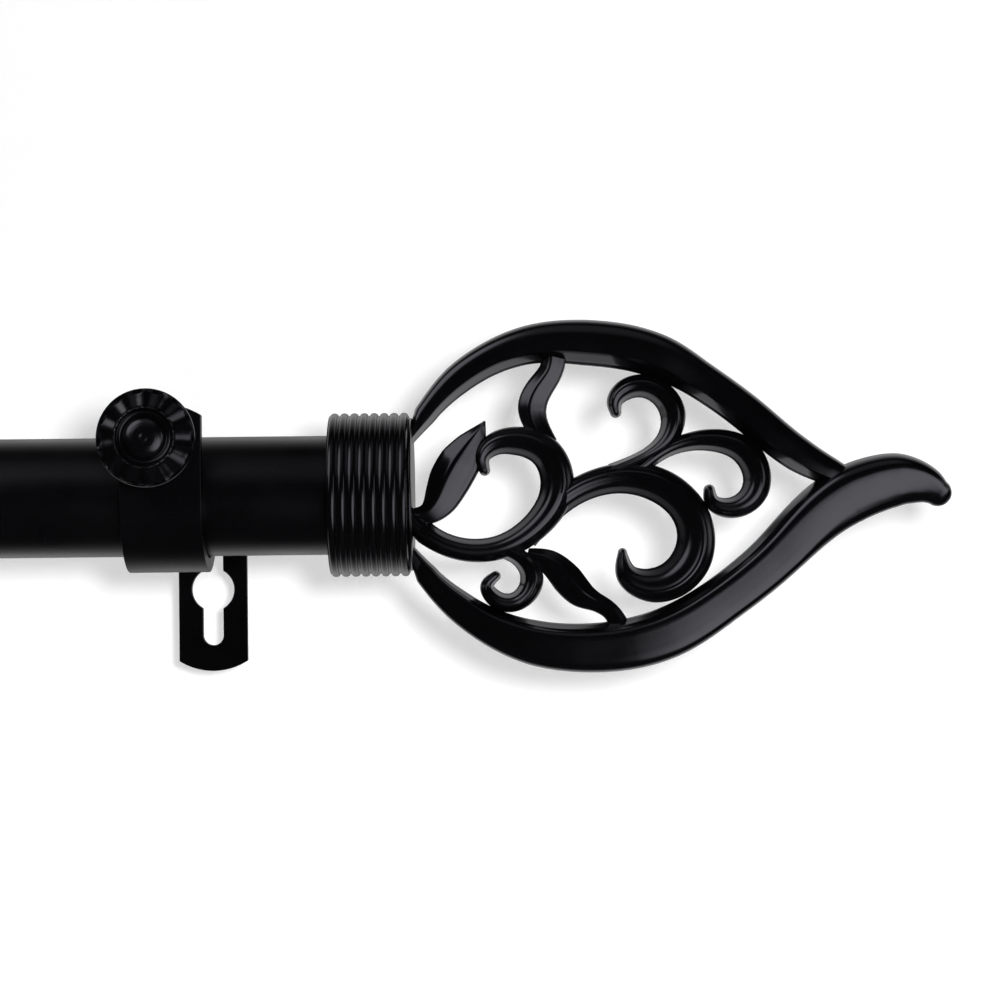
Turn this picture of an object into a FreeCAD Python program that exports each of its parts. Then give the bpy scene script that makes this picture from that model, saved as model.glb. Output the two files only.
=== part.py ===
import FreeCAD, Part
import math
import os
import re

import Sketcher
from FreeCAD import Placement, Rotation, Vector

# Telescoping curtain rod with two adjustable wall brackets and two scrolled cast finials.
# Frame: +X runs along the rod towards the right finial, +Y points into the wall, +Z is up.
# The origin is on the wall, at the right bracket's centre line and at the height of the rod's axis.

SIZES = (
    # the telescoping rod
    ("tube_od", 25.4),
    ("tube_wall", 0.8),
    ("outer_tube_length", 285.0),
    ("inner_od", 22.2),
    ("inner_wall", 0.7),
    ("inner_tube_length", 265.0),
    ("bush_length", 12.0),
    ("bush_flange", 1.5),
    ("rod_reach", 85.0),
    ("rod_span", 381.0),
    ("collar_face", 51.2),
    ("bracket_spacing", 278.6),
    ("fit_gap", 0.05),
    # collars and the fittings inside the rod's ends
    ("collar_length", 17.1),
    ("collar_lip", 1.6),
    ("collar_valley_radius", 16.95),
    ("collar_rib_radius", 1.39),
    ("lip_bore_radius", 9.8),
    ("sleeve_length", 17.5),
    ("plug_depth", 8.0),
    ("plug_length", 16.0),
    ("nut_radius", 4.45),
    ("nut_length", 10.0),
    # finials
    ("stud_radius", 3.0),
    ("stud_chamfer", 0.5),
    ("stud_length", 20.8),
    ("stud_inset", 0.7),
    ("disc_radius", 16.6),
    ("disc_thickness", 1.2),
    ("disc_gap", 0.3),
    ("spigot_radius", 9.2),
    ("spigot_length", 6.0),
    ("arc_thickness", 10.0),
    ("scroll_thickness", 8.0),
    ("leaf_thickness", 5.0),
    # wall plate and arm
    ("plate_width", 16.7),
    ("plate_thickness", 2.2),
    ("plate_bottom", 41.2),
    ("plate_end_radius", 15.6),
    ("arm_top", 7.0),
    ("arm_length", 56.5),
    ("bend_radius", 4.2),
    ("bend_inner_radius", 2.0),
    ("keyhole_radius", 5.2),
    ("keyhole_drop", 21.3),
    ("slot_radius", 2.5),
    ("slot_reach", 11.15),
    ("wall_hole_radius", 2.3),
    ("wall_hole_drop", 3.2),
    ("arm_slot_radius", 2.65),
    ("arm_slot_start", 15.65),
    ("arm_slot_end", 49.55),
    # cradle
    ("cradle_width", 17.1),
    ("cradle_thickness", 3.0),
    ("cradle_inner_radius", 13.1),
    ("cradle_top", 19.2),
    ("cradle_end_radius", 16.0),
    ("cradle_lift", 0.05),
    ("tail_end", 24.0),
    # thumb screw
    ("screw_height", 11.2),
    ("screw_radius", 2.5),
    ("screw_chamfer", 0.6),
    ("screw_tip", 2.8),
    ("screw_end", 20.8),
    ("knob_back", 11.0),
    ("knob_rim", 22.0),
    ("knob_crown", 24.2),
    ("knob_radius", 9.9),
    ("knob_crown_radius", 5.8),
    ("hub_radius", 5.0),
    ("flute_radius", 5.2),
    ("flute_depth", 0.35),
    # projection screws, washers and nuts
    ("bolt_radius", 2.5),
    ("bolt_chamfer", 0.4),
    ("bolt_length", 11.5),
    ("bolt_head_radius", 4.75),
    ("bolt_head_height", 2.75),
    ("bolt_socket", 1.6),
    ("bolt_reach", 30.0),
    ("bolt_spacing", 10.0),
    ("washer_radius", 5.0),
    ("washer_thickness", 1.0),
    ("bolt_nut_thickness", 4.0),
)

RIB_COUNT = 8
FLUTE_COUNT = 14
HEX_SOCKET_RADIUS = 1.73
HEX_NUT_RADIUS = 4.62
ROOT_REACH = 1.0
CUT_LENGTH = 400.0

# Centre lines of the finial's members: distance beyond the collar's face, height above the
# rod's axis and width of the member there, all in millimetres.
ARC_MEMBERS = {
    "upper_arc": (
        (0.9, 12.7, 4.4), (4.8, 18.6, 5.1), (10.2, 24.1, 6.5), (15.8, 27.9, 7.1), (26.7, 31.8, 8.4),
        (37.6, 32.0, 9.7), (48.4, 30.5, 9.8), (61.0, 24.5, 8.3), (77.7, 12.1, 7.9), (88.0, 4.4, 6.6),
    ),
    "lower_arc": (
        (0.9, -12.9, 4.4), (4.4, -18.3, 5.1), (9.7, -23.4, 6.6), (15.2, -27.3, 7.6), (26.0, -31.8, 9.6),
        (36.9, -33.1, 10.2), (47.8, -32.1, 11.0), (61.1, -26.4, 10.2), (77.4, -14.4, 10.2),
        (88.4, -4.3, 12.0), (99.3, 1.1, 12.0), (108.9, 1.0, 8.3), (114.0, -1.4, 3.8),
    ),
}
SCROLL_MEMBERS = {
    "stem_scroll": (
        (0.9, -5.4, 5.4), (3.8, -8.5, 4.8), (9.8, -11.5, 4.8), (18.7, -11.6, 5.1), (27.8, -6.0, 6.0),
        (31.5, 1.3, 7.0), (29.0, 8.7, 6.8), (22.2, 11.2, 6.0), (17.4, 9.0, 3.9), (16.4, 5.2, 2.2),
    ),
    "great_spiral": (
        (25.6, -9.6, 4.3), (34.4, -0.5, 5.5), (42.8, 2.7, 6.2), (52.4, 1.7, 7.4), (60.2, -5.7, 7.7),
        (59.9, -14.6, 8.5), (51.5, -19.9, 7.3), (46.4, -17.5, 4.8), (45.3, -13.2, 2.0),
    ),
    "top_curl": (
        (45.6, 5.6, 2.6), (50.3, 7.7, 2.8), (54.9, 11.2, 4.2), (56.3, 16.8, 5.5), (51.6, 22.2, 5.1),
        (45.8, 20.9, 3.6), (44.3, 17.2, 1.9),
    ),
    "right_curl": (
        (50.4, 6.0, 2.4), (55.3, 9.1, 3.0), (64.0, 10.9, 4.7), (72.3, 7.6, 6.0), (73.7, 0.1, 5.8),
        (68.1, -3.6, 4.3), (64.4, -1.6, 3.1), (64.3, 0.7, 1.9),
    ),
    "small_curl": (
        (18.6, -12.2, 2.4), (23.0, -13.4, 3.4), (26.1, -18.0, 5.0), (22.6, -23.2, 4.0),
        (17.6, -22.1, 3.2), (17.2, -18.2, 1.8),
    ),
}
LEAF_MEMBERS = {
    "root_leaf": ((0.9, -4.8, 3.0), (4.2, -4.0, 4.8), (8.6, 2.8, 8.0), (12.4, 10.0, 5.6), (16.0, 14.7, 0.6)),
    "top_leaf": ((27.6, 12.6, 5.1), (26.8, 18.2, 6.2), (28.5, 23.1, 5.4), (31.4, 29.4, 5.5)),
    "bottom_leaf": ((26.4, -12.6, 3.6), (33.2, -18.2, 6.8), (38.7, -22.9, 4.5), (44.2, -28.0, 3.8)),
}


def expression(text):
    """Words in the text name cells of the sheet."""
    return re.sub(r"[a-z][a-z_]*", lambda word: "sizes." + word.group(), text)


def make_sheet(doc):
    sheet = doc.addObject("Spreadsheet::Sheet", "sizes")
    for row, (alias, value) in enumerate(SIZES, start=1):
        sheet.set(f"A{row}", alias)
        sheet.set(f"B{row}", str(value))
        sheet.setAlias(f"B{row}", alias)
    doc.recompute()
    return sheet


def origin_plane(body, role):
    return next(feature for feature in body.Origin.OriginFeatures if feature.Role == role)


def new_body(doc, label):
    body = doc.addObject("PartDesign::Body", label)
    body.Label = label
    return body


def new_sketch(body, name, role, offset=None):
    """A sketch on one of the body's origin planes, moved along the plane's normal by offset."""
    sketch = body.newObject("Sketcher::SketchObject", name)
    sketch.AttachmentSupport = [(origin_plane(body, role), "")]
    sketch.MapMode = "FlatFace"
    if offset is not None:
        sketch.setExpression("AttachmentOffset.Base.z", expression(offset))
    return sketch


def bind_point(sketch, geometry, end, across, up):
    """Ties a point to two expressions; it starts from where the point is drawn."""
    drawn = sketch.getPoint(geometry, end)
    for kind, text, value in (("DistanceX", across, drawn.x), ("DistanceY", up, drawn.y)):
        number = sketch.addConstraint(Sketcher.Constraint(kind, -1, 1, geometry, end, value))
        sketch.setExpression(f"Constraints[{number}]", expression(text))


def bound_polygon(sketch, corners):
    """Closed outline whose corners are pairs of expressions; it starts as a regular polygon."""
    first = sketch.GeometryCount
    count = len(corners)
    ring = [Vector(math.cos(math.tau * i / count), math.sin(math.tau * i / count), 0) for i in range(count)]
    for i in range(count):
        sketch.addGeometry(Part.LineSegment(ring[i], ring[(i + 1) % count]), False)
    for i in range(count):
        sketch.addConstraint(Sketcher.Constraint("Coincident", first + i, 2, first + (i + 1) % count, 1))
    for i, (across, up) in enumerate(corners):
        bind_point(sketch, first + i, 1, across, up)


def bound_circle(sketch, across, up, radius):
    number = sketch.addGeometry(Part.Circle(Vector(0, 0, 0), Vector(0, 0, 1), 1.0), False)
    bind_point(sketch, number, 3, across, up)
    constraint = sketch.addConstraint(Sketcher.Constraint("Radius", number, 1.0))
    sketch.setExpression(f"Constraints[{constraint}]", expression(radius))


def hexagon(sketch, radius):
    corners = [Vector(radius * math.cos(i * math.pi / 3), radius * math.sin(i * math.pi / 3), 0) for i in range(6)]
    for i in range(6):
        sketch.addGeometry(Part.LineSegment(corners[i], corners[(i + 1) % 6]), False)


def rectangle(low_across, high_across, low_up, high_up):
    return ((low_across, low_up), (high_across, low_up), (high_across, high_up), (low_across, high_up))


def pad(body, sketch, length, symmetric=False, reverse=False):
    feature = body.newObject("PartDesign::Pad", "Pad")
    feature.Profile = sketch
    feature.setExpression("Length", expression(length))
    feature.Reversed = reverse
    if symmetric:
        feature.SideType = "Symmetric"
    return feature


def cut_through(body, sketch):
    """Pockets right through the body both ways from the sketch."""
    feature = body.newObject("PartDesign::Pocket", "Pocket")
    feature.Profile = sketch
    feature.Type = "Length"
    feature.Length = CUT_LENGTH
    feature.SideType = "Symmetric"
    return feature


def blind_cut(body, sketch, depth, reverse=False):
    """Pocket of a given depth, against the sketch's normal unless reversed."""
    feature = body.newObject("PartDesign::Pocket", "Pocket")
    feature.Profile = sketch
    feature.Type = "Length"
    feature.setExpression("Length", expression(depth))
    feature.Reversed = reverse


def place(body, base, turn_axis=Vector(0, 0, 1), degrees=0.0):
    body.Placement = Placement(Vector(0, 0, 0), Rotation(turn_axis, degrees))
    for axis, text in zip("xyz", base):
        body.setExpression(f"Placement.Base.{axis}", expression(text))


def turned(doc, label, profile):
    """A body of revolution about its own X axis; the profile gives (along, radius) expressions."""
    body = new_body(doc, label)
    sketch = new_sketch(body, "Profile", "XY_Plane")
    bound_polygon(sketch, profile)
    feature = body.newObject("PartDesign::Revolution", "Revolution")
    feature.Profile = sketch
    feature.ReferenceAxis = (sketch, ["H_Axis"])
    feature.Angle = 360.0
    return body


def ring_profile(start, end, inner, outer):
    return rectangle(start, end, inner, outer)


def round_end(body, size, radius, end, downwards):
    """Cuts a strip's end, lying in the XZ plane, to an arc whose outermost point is at end."""
    sketch = new_sketch(body, "RoundEnd", "XZ_Plane")
    side = -1 if downwards else 1
    sign = "-" if downwards else ""
    centre = side * (size[end] - size[radius])
    reach = size[radius]
    centre_text = f"{sign}({end} - {radius})"
    far_text = f"{sign}({end} + {radius})"
    start, stop = (math.pi, math.tau) if downwards else (0.0, math.pi)
    arc = Part.ArcOfCircle(Part.Circle(Vector(0, centre, 0), Vector(0, 0, 1), reach), start, stop)
    sketch.addGeometry(arc, False)
    outer = ((2 * reach, centre), (2 * reach, side * 100.0), (-2 * reach, side * 100.0), (-2 * reach, centre))
    path = [(reach, centre), *outer, (-reach, centre)]
    for (x0, y0), (x1, y1) in zip(path, path[1:]):
        sketch.addGeometry(Part.LineSegment(Vector(x0, y0, 0), Vector(x1, y1, 0)), False)
    right_end, left_end = (2, 1) if downwards else (1, 2)
    sketch.addConstraint(Sketcher.Constraint("Coincident", 0, right_end, 1, 1))
    sketch.addConstraint(Sketcher.Constraint("Coincident", 0, left_end, 5, 2))
    for i in range(1, 5):
        sketch.addConstraint(Sketcher.Constraint("Coincident", i, 2, i + 1, 1))
    bind_point(sketch, 0, 3, "0", centre_text)
    bind_point(sketch, 0, right_end, radius, centre_text)
    number = sketch.addConstraint(Sketcher.Constraint("DistanceY", -1, 1, 0, left_end, centre))
    sketch.setExpression(f"Constraints[{number}]", expression(centre_text))
    bind_point(sketch, 2, 1, f"2 * {radius}", centre_text)
    bind_point(sketch, 3, 1, f"2 * {radius}", far_text)
    bind_point(sketch, 4, 1, f"-2 * {radius}", far_text)
    bind_point(sketch, 5, 1, f"-2 * {radius}", centre_text)
    return cut_through(body, sketch)


def slot_cut(body, role, low, high, radius):
    """A slot with round ends along the sketch's vertical axis, cut as a rectangle and two circles."""
    middle = new_sketch(body, "SlotMiddle", role)
    bound_polygon(middle, rectangle(f"-{radius}", radius, low, high))
    cut_through(body, middle)
    for end in (low, high):
        circle = new_sketch(body, "SlotEnd", role)
        bound_circle(circle, "0", end, radius)
        cut_through(body, circle)


def edges_near(shape, points):
    """Names of the edges whose middle is nearest to each point."""
    names = []
    for point in points:
        distances = [edge.CenterOfMass.distanceToPoint(point) for edge in shape.Edges]
        names.append(f"Edge{distances.index(min(distances)) + 1}")
    return names


def bend_fillets(doc, body, bends):
    """Rounds a folded strip's outer and inner bend edges, each given as (point, radius cell)."""
    for point, radius in bends:
        doc.recompute()
        base = body.Tip
        fillet = body.newObject("PartDesign::Fillet", "Bend")
        fillet.Base = (base, edges_near(base.Shape, [point]))
        fillet.setExpression("Radius", expression(radius))


def bracket_arm(doc, size, label):
    """Wall plate with a double-ended keyhole, folded over into a slotted horizontal arm."""
    body = new_body(doc, label)
    plate = new_sketch(body, "Plate", "XZ_Plane")
    half = "plate_width / 2"
    bound_polygon(plate, rectangle(f"-{half}", half, "-plate_bottom", "arm_top"))
    pad(body, plate, "plate_thickness")
    arm = new_sketch(body, "Arm", "XY_Plane", "arm_top")
    bound_polygon(arm, rectangle(f"-{half}", half, "-arm_length", "0"))
    pad(body, arm, "plate_thickness", reverse=True)
    round_end(body, size, "plate_end_radius", "plate_bottom", True)
    keyhole = new_sketch(body, "Keyhole", "XZ_Plane")
    bound_circle(keyhole, "0", "-keyhole_drop", "keyhole_radius")
    cut_through(body, keyhole)
    slot_cut(body, "XZ_Plane", "-(keyhole_drop + slot_reach)", "-(keyhole_drop - slot_reach)", "slot_radius")
    hole = new_sketch(body, "WallHole", "XZ_Plane")
    bound_circle(hole, "0", "-wall_hole_drop", "wall_hole_radius")
    cut_through(body, hole)
    slot_cut(body, "XY_Plane", "-arm_slot_end", "-arm_slot_start", "arm_slot_radius")
    top = size["arm_top"]
    thick = size["plate_thickness"]
    bend_fillets(doc, body, (
        (Vector(0, 0, top), "bend_radius"),
        (Vector(0, -thick, top - thick), "bend_inner_radius"),
    ))
    return body


def cradle(doc, size, label):
    """J-shaped strap round the rod; its own origin is on the rod's axis."""
    body = new_body(doc, label)
    half = "cradle_width / 2"
    inner = "cradle_inner_radius"
    outer = "(cradle_inner_radius + cradle_thickness)"
    low_tail = "(arm_top + cradle_lift)"
    bend = new_sketch(body, "Bend", "XY_Plane")
    bound_polygon(bend, rectangle(f"-{half}", half, f"-{outer}", f"-{inner}"))
    turn = body.newObject("PartDesign::Revolution", "HalfTurn")
    turn.Profile = bend
    turn.ReferenceAxis = (bend, ["H_Axis"])
    turn.Angle = 180.0
    front = new_sketch(body, "FrontLeg", "XY_Plane")
    bound_polygon(front, rectangle(f"-{half}", half, f"-{outer}", f"-{inner}"))
    pad(body, front, "cradle_top")
    back = new_sketch(body, "BackLeg", "XY_Plane")
    bound_polygon(back, rectangle(f"-{half}", half, inner, outer))
    pad(body, back, f"{low_tail} + cradle_thickness")
    tail = new_sketch(body, "Tail", "XY_Plane", low_tail)
    bound_polygon(tail, rectangle(f"-{half}", half, inner, "rod_reach - tail_end"))
    pad(body, tail, "cradle_thickness")
    round_end(body, size, "cradle_end_radius", "cradle_top", False)
    screw_hole = new_sketch(body, "ScrewHole", "XZ_Plane")
    bound_circle(screw_hole, "0", "screw_height", "screw_radius + fit_gap")
    blind_cut(body, screw_hole, outer, reverse=True)
    for reach in ("bolt_reach", "bolt_reach + bolt_spacing"):
        bolt_hole = new_sketch(body, "BoltHole", "XY_Plane", low_tail)
        bound_circle(bolt_hole, "0", f"rod_reach - ({reach})", "bolt_radius + 2 * fit_gap")
        blind_cut(body, bolt_hole, "cradle_thickness", reverse=True)
    top = size["arm_top"] + size["cradle_lift"]
    thick = size["cradle_thickness"]
    near = size["cradle_inner_radius"]
    bend_fillets(doc, body, (
        (Vector(0, near, top + thick), "bend_radius"),
        (Vector(0, near + thick, top), "bend_inner_radius / 2"),
    ))
    return body


def thumb_stem(doc, label):
    return turned(doc, label, (
        ("-screw_tip", "0"), ("-screw_tip", "screw_radius - screw_chamfer"),
        ("-screw_tip + screw_chamfer", "screw_radius"),
        ("screw_end", "screw_radius"), ("screw_end", "0"),
    ))


def thumb_knob(doc, size, label):
    """Disc knob on a hub: a sloping flange cut into flutes round a small dome."""
    bore = "screw_radius + fit_gap"
    body = turned(doc, label, (
        ("knob_back", bore), ("knob_back", "hub_radius"), ("knob_back + 6", "hub_radius"),
        ("knob_rim - 3.2", "knob_radius - 1.4"), ("knob_rim - 1.2", "knob_radius"),
        ("knob_rim", "knob_radius"), ("knob_crown", "knob_crown_radius"),
        ("knob_crown - 0.8", "knob_crown_radius - 0.2"), ("knob_crown - 0.8", "knob_crown_radius - 1.6"),
        ("knob_crown", "2"), ("knob_crown + 0.2", "0"), ("screw_end + fit_gap", "0"),
        ("screw_end + fit_gap", bore),
    ))
    fall = Vector(size["knob_rim"] - size["knob_crown"], size["knob_radius"] - size["knob_crown_radius"], 0)
    direction = Vector(fall).normalize()
    outward = Vector(direction.y, -direction.x, 0)
    middle = Vector(size["knob_crown"], size["knob_crown_radius"], 0) + fall * 0.5
    axis_start = middle + outward * (size["flute_radius"] - size["flute_depth"]) - direction * 8
    flute = body.newObject("PartDesign::SubtractiveCylinder", "Flute")
    flute.setExpression("Radius", expression("flute_radius"))
    flute.Height = 16.0
    flute.AttachmentSupport = [(origin_plane(body, "XY_Plane"), "")]
    flute.MapMode = "FlatFace"
    flute.AttachmentOffset = Placement(axis_start, Rotation(Vector(0, 0, 1), direction))
    pattern = body.newObject("PartDesign::PolarPattern", "Flutes")
    pattern.Originals = [flute]
    pattern.Axis = (body.Group[0], ["H_Axis"])
    pattern.Angle = 360.0
    pattern.Occurrences = FLUTE_COUNT
    body.Tip = pattern
    return body


def ribbed_collar(doc, size, label):
    """Sleeve with rounded ribs all along it and an inward lip at its outer end."""
    body = new_body(doc, label)
    sketch = new_sketch(body, "Profile", "XY_Plane")
    pitch = size["collar_length"] / RIB_COUNT
    valley = size["collar_valley_radius"]
    rib = size["collar_rib_radius"]
    drop = math.sqrt(rib ** 2 - (pitch / 2) ** 2)
    bore = size["tube_od"] / 2 + size["fit_gap"]
    low = -size["collar_length"]
    lip = -size["collar_lip"]
    sweep = math.asin(pitch / 2 / rib)
    path = [
        (0, valley), (0, size["lip_bore_radius"]), (lip, size["lip_bore_radius"]), (lip, bore), (low, bore),
        (low, valley),
    ]
    for (x0, y0), (x1, y1) in zip(path, path[1:]):
        sketch.addGeometry(Part.LineSegment(Vector(x0, y0, 0), Vector(x1, y1, 0)), False)
    for i in range(RIB_COUNT):
        centre = Vector(low + (i + 0.5) * pitch, valley - drop, 0)
        circle = Part.Circle(centre, Vector(0, 0, 1), rib)
        sketch.addGeometry(Part.ArcOfCircle(circle, math.pi / 2 - sweep, math.pi / 2 + sweep), False)
    feature = body.newObject("PartDesign::Revolution", "Revolution")
    feature.Profile = sketch
    feature.ReferenceAxis = (sketch, ["H_Axis"])
    feature.Angle = 360.0
    return body


def ribbon_sides(stations):
    """Points either side of a centre line, half the local width away, square to its direction.

    A member that starts in the base disc is cut parallel to the disc there, not square to its direction.
    """
    centres = [Vector(along, up, 0) for along, up, width in stations]
    left, right = [], []
    for i, (along, up, width) in enumerate(stations):
        before = centres[max(i - 1, 0)]
        after = centres[min(i + 1, len(centres) - 1)]
        direction = (after - before).normalize()
        side = Vector(-direction.y, direction.x, 0) * (width / 2)
        if i == 0 and along < ROOT_REACH:
            side = Vector(0, width / 2, 0)
        left.append(centres[i] + side)
        right.append(centres[i] - side)
    return left, right


def smooth_edge(points):
    curve = Part.BSplineCurve()
    curve.interpolate(points)
    return curve


def member(body, name, stations, thickness):
    """One flat-sided member of the casting, with a round tip at the end of its centre line."""
    left, right = ribbon_sides(stations)
    sketch = new_sketch(body, name, "XZ_Plane")
    forward = (left[-1] - right[-1]).cross(Vector(0, 0, 1)).normalize() * (left[-1] - right[-1]).Length / -2
    tip = (left[-1] + right[-1]) * 0.5 - forward
    sketch.addGeometry(smooth_edge(left), False)
    sketch.addGeometry(Part.Arc(left[-1], tip, right[-1]), False)
    sketch.addGeometry(smooth_edge(right[::-1]), False)
    sketch.addGeometry(Part.LineSegment(right[0], left[0]), False)
    return pad(body, sketch, thickness, symmetric=True)


def finial(doc, label):
    """Openwork scroll casting: a spigoted disc, two bowed arcs, scrolls, curls and leaves."""
    spigot_end = "disc_gap - spigot_length"
    stud_bore = "stud_radius + fit_gap"
    body = turned(doc, label, (
        (spigot_end, stud_bore), (spigot_end, "spigot_radius"), ("disc_gap", "spigot_radius"),
        ("disc_gap", "disc_radius"), ("disc_gap + disc_thickness", "disc_radius"),
        ("disc_gap + disc_thickness", "0"), ("-stud_inset + fit_gap", "0"), ("-stud_inset + fit_gap", stud_bore),
    ))
    groups = (
        (ARC_MEMBERS, "arc_thickness"), (SCROLL_MEMBERS, "scroll_thickness"), (LEAF_MEMBERS, "leaf_thickness"),
    )
    for members, thickness in groups:
        for name, stations in members.items():
            member(body, name, stations, thickness)
    return body


def bolt(doc, label):
    body = turned(doc, label, (
        ("-bolt_length", "0"), ("-bolt_length", "bolt_radius - bolt_chamfer"),
        ("-bolt_length + bolt_chamfer", "bolt_radius"),
        ("0", "bolt_radius"), ("0", "bolt_head_radius"), ("0.9", "bolt_head_radius"),
        ("bolt_head_height", "bolt_head_radius - 2"), ("bolt_head_height", "0"),
    ))
    socket = new_sketch(body, "Socket", "YZ_Plane", "bolt_head_height")
    hexagon(socket, HEX_SOCKET_RADIUS)
    blind_cut(body, socket, "bolt_socket")
    return body


def hex_nut(doc, label):
    body = new_body(doc, label)
    sketch = new_sketch(body, "Hexagon", "YZ_Plane")
    hexagon(sketch, HEX_NUT_RADIUS)
    bound_circle(sketch, "0", "0", "bolt_radius + fit_gap")
    pad(body, sketch, "bolt_nut_thickness", reverse=True)
    return body


def pair_of(doc, label, make, bracket, height):
    """Two like fasteners side by side along the arm, joined in one node."""
    members = []
    for number, reach in enumerate(("bolt_reach", "bolt_reach + bolt_spacing"), start=1):
        single = make(f"{label}_{number}")
        place(single, (bracket, f"-({reach})", height), Vector(0, 1, 0), -90.0)
        members.append(single)
    group = doc.addObject("Part::Compound", label)
    group.Label = label
    group.Links = members
    return group


def bracket_set(doc, size, side, bracket):
    """The wall arm, cradle, thumb screw and projection fasteners of one bracket."""
    arm = bracket_arm(doc, size, f"{side}_bracket_arm")
    place(arm, (bracket, "0", "0"))
    holder = cradle(doc, size, f"{side}_cradle")
    place(holder, (bracket, "-rod_reach", "0"))
    stem = thumb_stem(doc, f"{side}_thumb_screw_stem")
    knob = thumb_knob(doc, size, f"{side}_thumb_knob")
    front = "-(rod_reach + cradle_inner_radius + cradle_thickness)"
    for piece in (stem, knob):
        place(piece, (bracket, front, "screw_height"), Vector(0, 0, 1), -90.0)
    tail_top = "arm_top + cradle_lift + cradle_thickness"
    washer_top = "arm_top - plate_thickness - cradle_lift"
    washer_profile = ring_profile("-washer_thickness", "0", "bolt_radius + 2 * fit_gap", "washer_radius")
    bolts = pair_of(doc, f"{side}_projection_screws", lambda label: bolt(doc, label), bracket, tail_top)
    washers = pair_of(
        doc, f"{side}_projection_washers", lambda label: turned(doc, label, washer_profile), bracket, washer_top)
    nuts = pair_of(
        doc, f"{side}_projection_nuts", lambda label: hex_nut(doc, label), bracket,
        f"{washer_top} - washer_thickness")
    return [arm, holder, stem, knob, bolts, washers, nuts]


def rod_end(doc, size, side, face, degrees, tube_inner):
    """Collar, plug, insert nut, stud and finial of one end, made for the right and turned for the left."""
    plug_end = "-plug_depth"
    plug_start = "-(plug_depth + plug_length)"
    nut_start = "-(plug_depth + nut_length)"
    stud_room = "-(plug_depth + nut_length + 4.5)"
    nut_bore = "nut_radius + fit_gap"
    stud_hole = "stud_radius + 6 * fit_gap"
    plug = turned(doc, f"{side}_end_plug", (
        (plug_start, "0"), (plug_start, f"{tube_inner} - fit_gap"), (plug_end, f"{tube_inner} - fit_gap"),
        (plug_end, nut_bore), (nut_start, nut_bore), (nut_start, stud_hole), (stud_room, stud_hole),
        (stud_room, "0"),
    ))
    nut = turned(doc, f"{side}_insert_nut", ring_profile(nut_start, plug_end, "stud_radius + fit_gap", "nut_radius"))
    stud_start = "-(stud_inset + stud_length)"
    stud = turned(doc, f"{side}_finial_stud", (
        (stud_start, "0"), (stud_start, "stud_radius - stud_chamfer"), (f"{stud_start} + stud_chamfer", "stud_radius"),
        ("-stud_inset", "stud_radius"), ("-stud_inset", "0"),
    ))
    collar = ribbed_collar(doc, size, f"{side}_collar")
    casting = finial(doc, f"{side}_finial")
    pieces = [plug, nut, stud, collar, casting]
    for piece in pieces:
        place(piece, (face, "-rod_reach", "0"), Vector(0, 0, 1), degrees)
    return pieces


def tubes(doc, left_face):
    """Outer and inner tube with the two bushes that guide them and the sleeve in the left collar."""
    gap = "fit_gap"
    right_stop = "collar_face - collar_lip"
    left_stop = f"{left_face} + collar_lip"
    outer_wall = "tube_od / 2 - tube_wall"
    outer = turned(doc, "outer_tube", ring_profile("-outer_tube_length", "0", outer_wall, "tube_od / 2"))
    inner = turned(
        doc, "inner_tube", ring_profile("0", "inner_tube_length", "inner_od / 2 - inner_wall", "inner_od / 2"))
    mouth = turned(doc, "outer_mouth_bush", (
        ("-bush_flange", f"inner_od / 2 + {gap}"), ("-bush_flange", "tube_od / 2"), ("0", "tube_od / 2"),
        ("0", f"{outer_wall} - {gap}"), ("bush_length", f"{outer_wall} - {gap}"),
        ("bush_length", f"inner_od / 2 + {gap}"),
    ))
    guide = turned(
        doc, "inner_guide_bush",
        ring_profile("-bush_length - 2", "-2", f"inner_od / 2 + {gap}", f"{outer_wall} - {gap}"))
    sleeve = turned(
        doc, "left_step_sleeve", ring_profile("0", "sleeve_length", f"inner_od / 2 + {gap}", "tube_od / 2"))
    starts = (
        (outer, right_stop), (mouth, f"{right_stop} - outer_tube_length"), (inner, left_stop),
        (guide, f"{left_stop} + inner_tube_length"), (sleeve, left_stop),
    )
    for piece, start in starts:
        place(piece, (start, "-rod_reach", "0"))
    return [piece for piece, start in starts]


def failures(doc, parts):
    """Objects whose recompute failed and sub-parts without a valid shape."""
    found = [item.Name for item in doc.Objects if {"Invalid", "Error"} & set(item.State)]
    found += [part.Label for part in parts if part.Shape.isNull() or not part.Shape.isValid()]
    return found


def main():
    doc = FreeCAD.newDocument("curtain_rod")
    sheet = make_sheet(doc)
    size = {alias: sheet.get(alias) for alias, value in SIZES}
    left_face = "(collar_face - rod_span)"
    parts = bracket_set(doc, size, "right", "0")
    parts += bracket_set(doc, size, "left", "-bracket_spacing")
    parts += tubes(doc, left_face)
    parts += rod_end(doc, size, "right", "collar_face", 0.0, "(tube_od / 2 - tube_wall)")
    parts += rod_end(doc, size, "left", left_face, 180.0, "(inner_od / 2 - inner_wall)")
    doc.recompute()
    faults = failures(doc, parts)
    if faults:
        raise RuntimeError("these did not build: " + ", ".join(faults))
    os.makedirs("parts", exist_ok=True)
    for part in parts:
        part.Shape.exportStep(f"parts/{part.Label}.step")
        box = part.Shape.BoundBox
        print(f"{part.Label}: {len(part.Shape.Solids)} solid(s), volume {part.Shape.Volume:.0f} mm3, "
              f"x {box.XMin:.1f}..{box.XMax:.1f} y {box.YMin:.1f}..{box.YMax:.1f} z {box.ZMin:.1f}..{box.ZMax:.1f}")


main()
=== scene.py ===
import math

import bmesh
import bpy
import numpy as np
from mathutils import Matrix, Vector


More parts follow.
